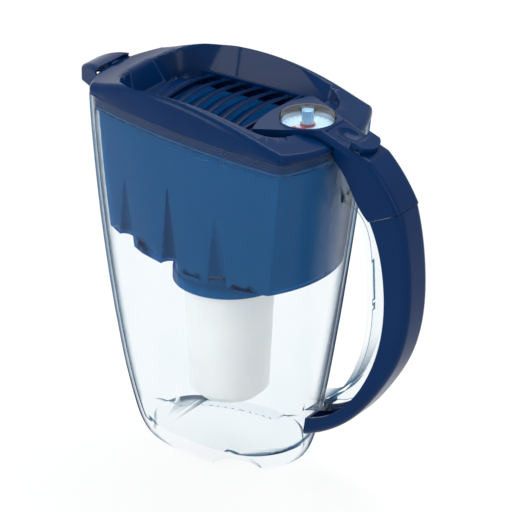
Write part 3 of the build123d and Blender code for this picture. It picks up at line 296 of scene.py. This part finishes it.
def moulded(name, colours, roughness, cloud, grain, grain_depth, more=None):
    """Moulded plastic. Slow clouds shift its colour a little, as flow in the mould does, a finer grain
    breaks its gloss between the two roughnesses, and the same grain gives it a slight texture. Cloud
    and grain are in millimetres. Real mould grain is about a tenth of a millimetre and would not
    show, so every grain here is drawn at least five times as coarse."""
    plastic_ior = 1.5
    material, tree = blank_material(name)
    place = add(tree, "ShaderNodeTexCoord")
    clouds = add(tree, "ShaderNodeTexNoise", {"Scale": per_metre(cloud), "Detail": 2.0},
                 {"Vector": place.outputs["Object"]})
    grains = add(tree, "ShaderNodeTexNoise", {"Scale": per_metre(grain), "Detail": 3.0},
                 {"Vector": place.outputs["Object"]})
    shade = add(tree, "ShaderNodeMix", {"data_type": "RGBA", 6: linear(colours[0]), 7: linear(colours[1])},
                {0: clouds.outputs["Fac"]})
    rough = add(tree, "ShaderNodeMapRange", {"To Min": roughness[0], "To Max": roughness[1]},
                {"Value": grains.outputs["Fac"]})
    relief = add(tree, "ShaderNodeBump", {"Strength": 0.25, "Distance": grain_depth},
                 {"Height": grains.outputs["Fac"]})
    body = add(tree, "ShaderNodeBsdfPrincipled", {"IOR": plastic_ior, **(more or {})},
               {"Base Color": shade.outputs[2], "Roughness": rough.outputs[0], "Normal": relief.outputs[0]})
    add(tree, "ShaderNodeOutputMaterial", None, {"Surface": body.outputs[0]})
    return material


rubber = moulded("black silicone rubber, moulded", ("#17181A", "#2B2D30"), roughness=(0.55, 0.8),
                 cloud=16.7, grain=1.1, grain_depth=0.00004)
fair("seal_ring", rubber, crisp_from=40.0)

# Cartridge: a cup and a slotted dome of white polypropylene, injection moulded in a satin mould and
# snapped together. Light goes a little way into it, so the eye gets a soft warm white.
white = moulded("white polypropylene, satin mould", ("#F0EFEC", "#E6E5E2"), roughness=(0.32, 0.48),
                cloud=33.3, grain=1.4, grain_depth=0.00003,
                more={"Subsurface Weight": 0.1, "Subsurface Scale": 0.002})
fair("cartridge_body", white, crisp_from=35.0)
fair("cartridge_cap", white, crisp_from=35.0)

# Screens: two discs cut from needled polyester felt, clamped above and below the granules. Fibres
# in all directions leave the eye a matt, uneven white.
felt = moulded("white polyester felt", ("#E6E4DC", "#CFCDC4"), roughness=(0.85, 0.95),
               cloud=11.1, grain=0.67, grain_depth=0.0002)
fair("upper_screen", felt, crisp_from=40.0)
fair("lower_screen", felt, crisp_from=40.0)

# Granules: activated carbon and resin beads of about a millimetre, poured in and packed without a
# gap. The eye gets dark crumbs with some amber ones between, and each cell of the pattern is one.
granule_size = 0.91
granule_depth = 0.0004
amber_from = 0.7
granules, tree = blank_material("packed carbon and resin granules")
place = add(tree, "ShaderNodeTexCoord")
cells = add(tree, "ShaderNodeTexVoronoi", {"Scale": per_metre(granule_size)},
            {"Vector": place.outputs["Object"]})
kinds = add(tree, "ShaderNodeSeparateColor", None, {"Color": cells.outputs["Color"]})
amber = add(tree, "ShaderNodeMath", {"operation": "GREATER_THAN", 1: amber_from}, {0: kinds.outputs[0]})
shade = add(tree, "ShaderNodeMix", {"data_type": "RGBA", 6: linear("#18181A"), 7: linear("#8A6A3C")},
            {0: amber.outputs[0]})
relief = add(tree, "ShaderNodeBump", {"Strength": 1.0, "Distance": granule_depth, "invert": True},
             {"Height": cells.outputs["Distance"]})
body = add(tree, "ShaderNodeBsdfPrincipled", {"Roughness": 0.7},
           {"Base Color": shade.outputs[2], "Normal": relief.outputs[0]})
add(tree, "ShaderNodeOutputMaterial", None, {"Surface": body.outputs[0]})
fair("filter_media", granules, crisp_from=40.0)

# Lid: dark blue ABS shell, injection moulded, with the fill basin pressed deep into it and a skirt
# that hangs into the jug. A polished mould leaves the eye a dark, even blue with a narrow gloss.
navy = moulded("dark blue ABS, high gloss mould", ("#012048", "#032A54"), roughness=(0.16, 0.24),
               cloud=50.0, grain=2.4, grain_depth=0.00002, more={"Specular IOR Level": 0.08})
fair("lid_shell", navy, crisp_from=32.0)

# Arm: the upper half of the handle with the fan round the counter, moulded of the same dark blue
# ABS, hollow underneath, and screwed to the lid from below.
fair("lid_arm", navy, crisp_from=32.0)

# Grip: the lower half of the handle, a shell of the same dark blue ABS, snapped over the back of
# the jug's clear frame.
fair("handle_grip", navy, crisp_from=32.0)

# Flap over the spout: a thin crowned cover, moulded of the same dark blue ABS. It turns on a steel
# pin in the lid.
fair("pour_flap", navy, crisp_from=32.0)

# Louvre blades: six arched slats of dark blue ABS, each with a pin at both ends and a crank under
# its far end, clipped into the louvre frame. A finer satin mould keeps them from glaring.
blade_count = 6
satin_navy = moulded("dark blue ABS, fine satin mould", ("#021E44", "#04264E"), roughness=(0.24, 0.34),
                     cloud=25.0, grain=1.1, grain_depth=0.00003, more={"Specular IOR Level": 0.1})
for number in range(1, blade_count + 1):
    fair("louvre_blade_%d" % number, satin_navy, crisp_from=32.0)

# Louvre frame and link bar: the carrier of the slats under the basin and the flat bar that ties
# their cranks to the thumb piece, both of the same satin ABS.
fair("louvre_frame", satin_navy, crisp_from=32.0)
fair("link_bar", satin_navy, crisp_from=32.0)

# Thumb piece: a scooped slider with a raised lip for the thumb, moulded of the lid's glossy ABS. It
# runs on rails inside the arm.
fair("thumb_slider", navy, crisp_from=32.0)

# Counter tray: a pale grey cup of ABS, hung in the lid under the fan. It holds the dial and is the
# bearing of the counter's spindle. A satin mould leaves the eye a soft, even grey.
tray = moulded("pale grey ABS, satin mould", ("#9DB0C4", "#8CA0B6"), roughness=(0.3, 0.42),
               cloud=20.0, grain=1.25, grain_depth=0.00003)
fair("counter_cup", tray, crisp_from=35.0)

# Dial: a thin disc, punched from pale blue polystyrene sheet and glued into the tray, with raised
# ticks of screen-printed ink. The ink is duller than the sheet, so the ticks stay readable.
tick_step = 15
tick_near = 0.0146
tick_far = 0.0170
tick_width = 0.0005
tick_height = 0.00012


def printed_bars(angles, near, far, width, height, base, axis):
    """Raised print: bars that point away from an upright axis, at these angles in degrees. Over a bar
    the height is the print's thickness, times one minus the fourth power of the way from its middle
    to its end, times one minus the fourth power of the way from its middle line to its side."""
    points_along = 7
    points_across = 5
    along, across = np.meshgrid(
        np.linspace(-1, 1, points_along), np.linspace(-1, 1, points_across), indexing="ij")
    out = (near + far) / 2 + along * (far - near) / 2
    side = across * width / 2
    turn = np.radians(angles)[:, None, None]
    x = axis[0] + out * np.cos(turn) - side * np.sin(turn)
    y = axis[1] + out * np.sin(turn) + side * np.cos(turn)
    z = np.broadcast_to(base + height * (1 - along ** 4) * (1 - across ** 4), x.shape)
    corner = np.arange(x.size).reshape(x.shape)
    faces = np.stack(
        [corner[:, :-1, :-1], corner[:, 1:, :-1], corner[:, 1:, 1:], corner[:, :-1, 1:]], axis=-1)
    return np.stack([x, y, z], axis=-1).reshape(-1, 3), faces.reshape(-1, 4)


sheet = moulded("pale blue printed polystyrene", ("#D3E6F4", "#C3DAEC"), roughness=(0.3, 0.4),
                cloud=16.7, grain=1.1, grain_depth=0.00002)
dial = fair("counter_dial", sheet, crisp_from=35.0)
dial_top = max(corner.co.z for corner in dial.data.vertices)
counter_axis = next(joint["pos_m"] for joint in frame["joints"] if joint["name"] == "counter_turn")
ticks = mesh_object("dial_ticks", *printed_bars(
    np.arange(0, 360, tick_step), tick_near, tick_far, tick_width, tick_height, dial_top, counter_axis))
ticks.data.shade_smooth()
ticks.data.materials.append(moulded(
    "dark blue dial print", ("#35506C", "#4A6684"), roughness=(0.4, 0.55),
    cloud=11.1, grain=0.67, grain_depth=0.00001))
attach(ticks, frame["nodes"]["counter_dial"]["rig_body"])

# Counter sector and spindle: a red pointer of ABS over the dial and the pale blue ABS spindle that
# carries it, pressed into the clear cover so that they turn with it. The eye gets a soft red patch
# and a brighter, shinier blue.
red = moulded("red ABS, satin mould", ("#C3222E", "#A81824"), roughness=(0.28, 0.4),
              cloud=16.7, grain=1.1, grain_depth=0.00002)
fair("counter_sector", red, crisp_from=35.0)
pale_blue = moulded("pale blue ABS, gloss mould", ("#86B7DC", "#74A9D2"), roughness=(0.15, 0.25),
                    cloud=16.7, grain=1.1, grain_depth=0.00002)
fair("counter_spindle", pale_blue, crisp_from=35.0)

# Counter cover: a clear acrylic window with a knob in its middle, moulded and polished. The eye
# gets the dial under it and a thin dark line round knob and rim.
window = see_through(
    "clear acrylic, polished", tints=("#FCFEFF", "#F8FDFE"), pigment="#DCE9F0",
    pigment_share=0.02, outline="#16384A", sink_mark=16.7, haze=0.01)
fair("counter_cover", window, crisp_from=30.0)

# Screws and hinge pin: plain stainless steel. Two slotted screws hold the arm on the lid from
# below, and the pin, a length of drawn wire, is pressed into the lid through the flap's lug. The
# fine lines of drawing would not show, so the pattern is about five times as coarse.
steel_line = 0.385
steel_line_depth = 0.00001
steel, tree = blank_material("stainless steel, drawn wire and turned heads")
place = add(tree, "ShaderNodeTexCoord")
lines = add(tree, "ShaderNodeTexNoise", {"Scale": per_metre(steel_line), "Detail": 2.0},
            {"Vector": place.outputs["Object"]})
rough = add(tree, "ShaderNodeMapRange", {"To Min": 0.2, "To Max": 0.38}, {"Value": lines.outputs["Fac"]})
shade = add(tree, "ShaderNodeMix", {"data_type": "RGBA", 6: linear("#C9CCD0"), 7: linear("#AEB2B8")},
            {0: lines.outputs["Fac"]})
relief = add(tree, "ShaderNodeBump", {"Strength": 0.2, "Distance": steel_line_depth},
             {"Height": lines.outputs["Fac"]})
body = add(tree, "ShaderNodeBsdfPrincipled", {"Metallic": 1.0},
           {"Base Color": shade.outputs[2], "Roughness": rough.outputs[0], "Normal": relief.outputs[0]})
add(tree, "ShaderNodeOutputMaterial", None, {"Surface": body.outputs[0]})
fair("arm_screws", steel, crisp_from=35.0)
fair("flap_pin", steel, crisp_from=35.0)

# Return spring: wound from the same steel wire. The thumb piece presses it against the rib in the arm, down
# the slope of the arm, and in the real jug it shortens by the slider's stroke towards the rib. Here it
# stands at rest, a copy with a mesh of its own.
spring = fair("slider_spring", steel, crisp_from=35.0)
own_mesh(spring)
